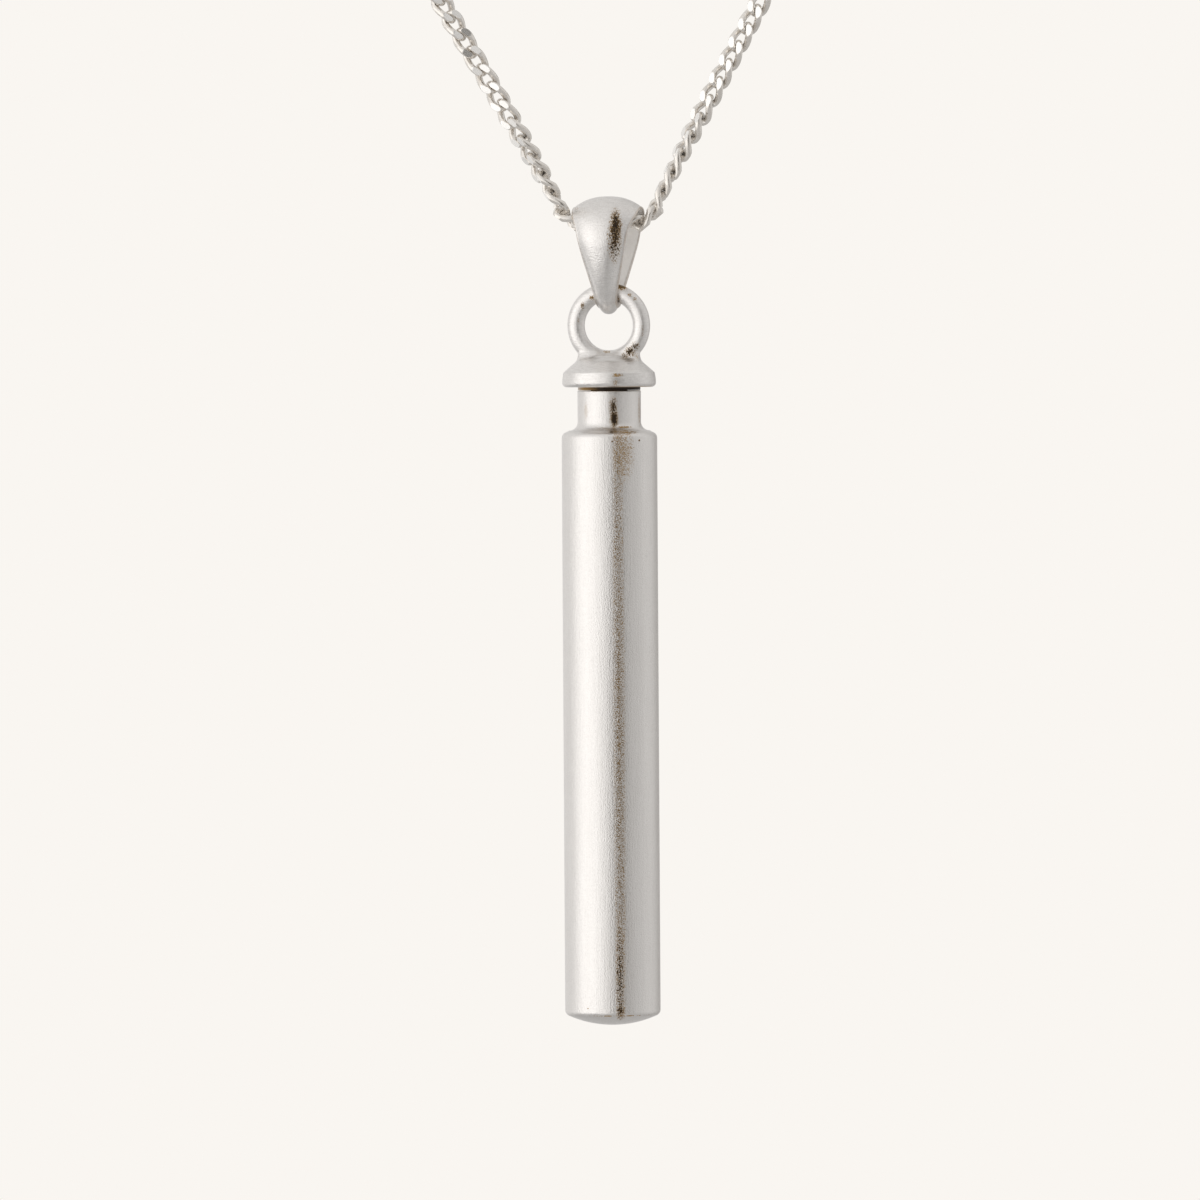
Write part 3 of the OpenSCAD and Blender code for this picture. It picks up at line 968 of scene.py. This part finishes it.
def satinSilver(name, look):
    material, tree, shader = newMaterial(name)
    place = placeInMm(tree)
    grain = useGroup(tree, grainGroup, {
        "Place": place, "Grain Size": look["grain"], "Stretch": look["stretch"], "Line Share": look["lines"]})
    height = grain["Height"]
    tone = mapRange(tree, grain["Tone"], *satin["tone"])
    fine = mapRange(tree, height, *satin["fine"])
    shade = mixValue(tree, look["speckle"], tone, fine)
    silver = mixColour(tree, shade, silverTones["worn"], silverTones["clean"])
    rough = mapRange(tree, height, *satin["rough"], *look["roughness"])
    mask, matt = 0.0, 1.0
    for patch in look["spots"]:
        marks = useGroup(tree, tarnishAndShadeSpot, {"Place": place, **patch})
        mask = math2(tree, "MAXIMUM", mask, marks["Mask"])
    if "edgeShade" in look:  # the bail's edges: painted edge shade, partly tarnished brown; its inner face is paler as painted light, and more matt
        edge = addNode(tree, "ShaderNodeAttribute", attribute_name="edge").outputs["Fac"]
        inner = addNode(tree, "ShaderNodeAttribute", attribute_name="inner").outputs["Fac"]
        uneven = math2(tree, "MULTIPLY", math2(tree, "MULTIPLY", grain["Tone"], 2.0), look["edgeShade"])
        mask = math2(tree, "MULTIPLY", mask, math2(tree, "SUBTRACT", 1.0, inner))
        mask = math2(tree, "MAXIMUM", mask, math2(tree, "MULTIPLY", edge, uneven))
        # The inner face's paler colour is painted light
        silver = mixColour(tree, inner, silver, silverTones["paintedLitInner"])
        height = math2(tree, "MULTIPLY", height, mapRange(tree, inner, 0.0, 1.0, 1.0, look["innerBump"]))
        rough = mixValue(tree, inner, rough, look["innerRoughness"])
        matt = mapRange(tree, inner, 0.0, 1.0, 1.0, look["innerMetal"])
    marked = useGroup(tree, tarnishAndShadeColour, {"Mask": mask, "Silver": silver})
    relief = {"Height": height, "Strength": 1.0, "Distance": look["bump"]/metre}
    bump = addNode(tree, "ShaderNodeBump", relief)
    feed(tree, shader, {
        "Base Color": marked["Color"],
        "Roughness": mixValue(tree, marked["Dullness"], rough, tarnishAndPaintedShade["roughness"]),
        "Metallic": math2(tree, "MULTIPLY", marked["Metal"], matt),
        "Normal": bump.outputs[0],
        "Specular IOR Level": satin["specular"],
    })
    return material


# Places are in mm, as the scene is: the pendant's front is at its lowest y
vesselLook = {
    "grain": 0.07, "stretch": (1, 1, 0.06), "lines": 0.3, "speckle": 0.3,
    "roughness": (0.28, 0.32), "bump": 0.03,
    "spots": [
        spot((0.22, -1.85, -184.7), (0.33, 0.9, 0.85), 0.055, 0.8, 0.95),  # these two: the neck's dark streak, a painted reflection of the dark gap, broken into specks
        spot((0.27, -1.85, -185.35), (0.35, 0.9, 0.85), 0.055, 0.5),
        spot((0.46, -2.7, -203), (0.42, 0.9, 30), 0.055, 2.3, 0.65),  # painted reflection of the dark gap down the whole tube, broken into brown specks
        spot((0.42, -2.7, -217.5), (0.3, 0.9, 4.5), 0.075, 1.6, 0.9),  # the same painted reflection, thicker near the bottom
        # brown lines below the shoulder
        spot((0.8, -2.6, -187.3), (0.8, 1.4, 2.1), 0.04, 2.2, 0.45, (0.45, 0.45, 1)),
        spot((0.95, -1.9, -185.84), (1.1, 0.9, 0.1), 0.2, 0.5, 0.4),  # along the fillet
        spot((0.9, -2.3, -186.1), (1.2, 0.9, 0.25), 0.06, 1.2, 0.4, (0.3, 0.3, 1)),
        spot((0.1, -2.55, -186.1), (0.22, 0.5, 0.12), 0.06, 1),  # pits
        spot((0.15, -2.74, -186.65), (0.08, 0.2, 0.08), 0.06, 0.2, 0.8),
        spot((1.71, -2.15, -186.6), (0.08, 0.2, 0.08), 0.06, 0.2, 0.8),
        spot((0.42, -2.7, -219.3), (0.34, 0.6, 0.36), 0.07, 1.0, 0.95),  # blot at the bottom
        spot((-1.43, -2.35, -219.2), (0.07, 0.2, 0.05), 0.06, 0.2, 0.4),
        spot((0.5, -2.2, -219.62), (2.2, 3, 0.05), 0.2, 1, 0.4),  # line between tube and dome
        spot((0.4, -0.5, -183.7), (2.9, 2.9, 0.1), 0.1, 0.3),  # painted shadow in the seam, on the neck's lip
        spot((1.75, -0.8, -184.9), (0.16, 0.8, 1.4), 0.07, 1, 0.3),  # thin line by the neck's right edge
        spot((-1.35, -1.26, -184.9), (0.2, 0.6, 0.9), 0.06, 0.6, 0.13),  # faint shadow on the neck's left
        spot((-2.1, -1.6, -185.97), (0.6, 0.7, 0.09), 0.06, 1.4, 0.5),  # specks on the shoulder's left edge
    ],
}
capLook = {
    "grain": 0.07, "stretch": (0.2, 0.2, 1), "lines": 0.55, "speckle": 0.6,
    "roughness": (0.28, 0.33), "bump": 0.03,
    "spots": [
        spot((0.4, -0.5, -183.64), (2.9, 2.9, 0.35), 0.2, 0),  # painted shadow in the seam, on the stud and the disc over the neck
        spot((0.46, -2.6, -182.85), (0.5, 0.5, 0.16), 0.08, 0.6, 0.4),  # these two, on the rim's upper edge in line with the streak below: partly painted reflection of the dark gap, partly brown specks
        spot((0.37, -2.65, -183.3), (0.2, 0.4, 0.24), 0.055, 1.6, 0.4),
        spot((0.92, -0.85, -181.74), (0.3, 0.6, 0.24), 0.06, 1.2, 0.8),  # low on the ring at the right
        spot((1.2, -0.85, -181.5), (0.42, 0.6, 0.4), 0.06, 0.7),
        spot((1.5, -0.8, -181.2), (0.32, 0.6, 0.32), 0.06, 1),
        spot((1.6, -0.85, -181.75), (0.3, 0.4, 0.45), 0.07, 3, 0.3),
        spot((0.76, -0.4, -177.7), (0.5, 0.7, 0.46), 0.08, 0.4, 0.7),  # by the bail
        spot((0.56, -0.3, -178.42), (0.2, 0.5, 0.26), 0.06, 0.5, 0.7),
        spot((-0.97, -0.2, -178.4), (0.2, 0.5, 0.22), 0.06, 0.7, 0.6),
        spot((-1.49, -0.3, -178.87), (0.18, 0.5, 0.34), 0.055, 0.8, 0.8),
        spot((-1.75, -0.3, -179.7), (0.12, 0.5, 0.25), 0.055, 1.2, 0.45),
        spot((1.21, -0.7, -178.26), (0.2, 0.4, 0.16), 0.055, 1, 0.5),
        spot((1.5, -0.7, -178.5), (0.16, 0.4, 0.16), 0.055, 1, 0.5),
        spot((1.94, -0.7, -180.3), (0.13, 0.4, 0.5), 0.055, 1.4, 0.5),
        spot((-0.14, -0.4, -181.5), (0.34, 0.5, 0.14), 0.07, 0.7, 0.45),  # in the bottom of the ring's hole
    ],
}
bailLook = {
    "grain": 0.07, "stretch": (0.25, 0.25, 1), "lines": 0.4, "speckle": 0.6,
    "roughness": (0.28, 0.33), "bump": 0.03,
    "innerBump": 0.2,
    "innerRoughness": 0.5,
    "innerMetal": 0.05,
    "edgeShade": 0.13,
    "spots": [
        spot((0.43, -2.0, -174.3), (0.47, 1.5, 1.4), 0.055, 0.6, 1, (0.7, 0.7, 1)),  # these two: dark patch on the front, a painted reflection of the dark gap, mottled with specks
        spot((0.35, -2.0, -175.1), (0.52, 1.5, 1.65), 0.06, 1, 1, (1, 1, 0.6)),
        spot((-1.83, -0.6, -173.27), (0.2, 0.6, 0.15), 0.06, 2, 0.3),
    ],
}


def brightSilver(name, look):
    material, tree, shader = newMaterial(name)
    grain = useGroup(tree, grainGroup, {
        "Place": placeInMm(tree), "Grain Size": look["grain"], "Stretch": (1, 1, 1), "Line Share": 0.0})
    cut = addNode(tree, "ShaderNodeAttribute", attribute_name="cut").outputs["Fac"]
    tone = mixColour(tree, grain["Tone"], look["shade"], look["silver"])
    rough = mapRange(tree, grain["Height"], *look["noise"], *look["roughness"])
    feed(tree, shader, {
        "Base Color": mixColour(tree, cut, tone, look["cut"]),
        "Roughness": mixValue(tree, cut, rough, look["cutRoughness"]),
        "Metallic": look["metallic"],
    })
    return material


chainLook = {
    "silver": (0.93, 0.905, 0.87, 1),
    "shade": (0.74, 0.70, 0.65, 1),
    "cut": (0.97, 0.96, 0.94, 1),
    "grain": 0.08,
    "noise": (0.3, 0.7),  # what of the noise is read as roughness
    "roughness": (0.1, 0.2),
    "cutRoughness": 0.22,
    "metallic": 0.85,
}


def dress(piece, material, body, node):
    piece.data.materials.clear()
    piece.data.materials.append(material)
    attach(piece, body)
    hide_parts(node)


chainSilver = brightSilver("brightSilver", chainLook)
dress(vessel, satinSilver("satinVessel", vesselLook), "vessel", "vessel")
dress(cap, satinSilver("satinCap", capLook), "cap", "cap")
dress(bail, satinSilver("satinBail", bailLook), "bail", "bail")
dress(chainNear, chainSilver, "necklace", "chain")
dress(chainFar, chainSilver, "necklace", "chain")
dress(clasp, chainSilver, "necklace", "clasp")
print("materials made")


# Studio: soft panels all round, brightest on the left, with a dark gap right of the camera
studio = {
    "backdrop": (0.95, 0.92, 0.88, 1),
    "warm": (1.0, 0.98, 0.96),
    # degrees to the right of the camera, brightness
    "panels": [
        (-180, 0.70), (-150, 0.86), (-125, 0.84), (-112, 0.76), (-97, 0.92), (-86, 1.36), (-66, 1.38),
        (-45, 1.38), (-28, 1.18), (-12, 0.95), (0, 0.78), (7, 0.62), (11, 0.38), (14, 0.05), (16, 0.02),
        (19, 0.02), (22, 0.10), (26, 0.38), (30, 0.48), (45, 0.56), (70, 0.60), (100, 0.74), (125, 0.67),
        (150, 0.42), (180, 0.70),
    ],
    "top": 0.76,
    "topShare": 0.85,  # how much of the sky's own light there is overhead
    "below": 0.51,
    "gap": (0.9, 0.75, 0.55),  # colour of the darkest part
    "gapUpTo": 0.5,  # brightness from which the panels are warm white
    "high": (0.1, 0.95),  # where the panels give way to the top, as the height of the direction
    "low": (-0.25, -0.6),  # and where to what is below
}


def makeWorld():
    world = bpy.data.worlds.new("studio")
    bpy.context.scene.world = world
    world.use_nodes = True
    tree = world.node_tree
    tree.nodes.clear()
    way = tree.nodes.new("ShaderNodeTexCoord").outputs["Generated"]
    parts = addNode(tree, "ShaderNodeSeparateXYZ", {0: way}).outputs
    angle = math2(tree, "ARCTAN2", parts["X"], math2(tree, "MULTIPLY", parts["Y"], -1.0))
    share = addNode(tree, "ShaderNodeMath", {0: angle, 1: 1/math.tau, 2: 0.5}, operation="MULTIPLY_ADD")
    ramp = addNode(tree, "ShaderNodeValToRGB", {"Fac": share.outputs[0]})
    stops = ramp.color_ramp.elements
    panels = studio["panels"]
    while len(stops) < len(panels):
        stops.new(0.5)
    for stop, (degrees, light) in zip(stops, panels):
        stop.position = (degrees + 180)/360
        shade = min(1, light/studio["gapUpTo"])
        tint = [gap + (warm - gap)*shade for gap, warm in zip(studio["gap"], studio["warm"])]
        stop.color = (*[light*t for t in tint], 1)
    high = mapRange(tree, parts["Z"], *studio["high"], 0.0, studio["topShare"], "SMOOTHSTEP")
    low = mapRange(tree, parts["Z"], *studio["low"], curve="SMOOTHSTEP")
    top = tuple(studio["top"]*w for w in studio["warm"]) + (1,)
    below = tuple(studio["below"]*w for w in studio["warm"]) + (1,)
    around = mixColour(tree, low, mixColour(tree, high, ramp.outputs["Color"], top), below)
    seen = tree.nodes.new("ShaderNodeLightPath").outputs["Is Camera Ray"]
    shown = mixColour(tree, seen, around, studio["backdrop"])
    background = addNode(tree, "ShaderNodeBackground", {"Color": shown, "Strength": 1.0})
    addNode(tree, "ShaderNodeOutputWorld", {"Surface": background.outputs[0]})


floorSizes = {
    "below": 80,
    "radius": 700,
    "clear": 250,  # it fades out from here
    "colour": (0.88, 0.855, 0.83, 1),
    "roughness": 0.9,
}


def makeFloor():
    deselect()
    height = cadLow.z*metre - floorSizes["below"]
    radius, clear = floorSizes["radius"]/metre, floorSizes["clear"]/metre
    bpy.ops.mesh.primitive_circle_add(vertices=128, radius=radius, fill_type="NGON",
                                      location=(0, 0, height/metre))
    floor = bpy.context.object
    floor.name = "floor"
    material, tree, shader = newMaterial("paleFloor")
    feed(tree, shader, {
        "Base Color": floorSizes["colour"],
        "Roughness": floorSizes["roughness"],
        "Alpha": mapRange(tree, vectorLength(tree, objectPlace(tree)), radius, clear, curve="SMOOTHSTEP"),
    })
    floor.data.materials.append(material)
    floor.visible_glossy = False


makeWorld()
makeFloor()
bpy.context.scene.view_settings.view_transform = "Standard"
print("studio lit")
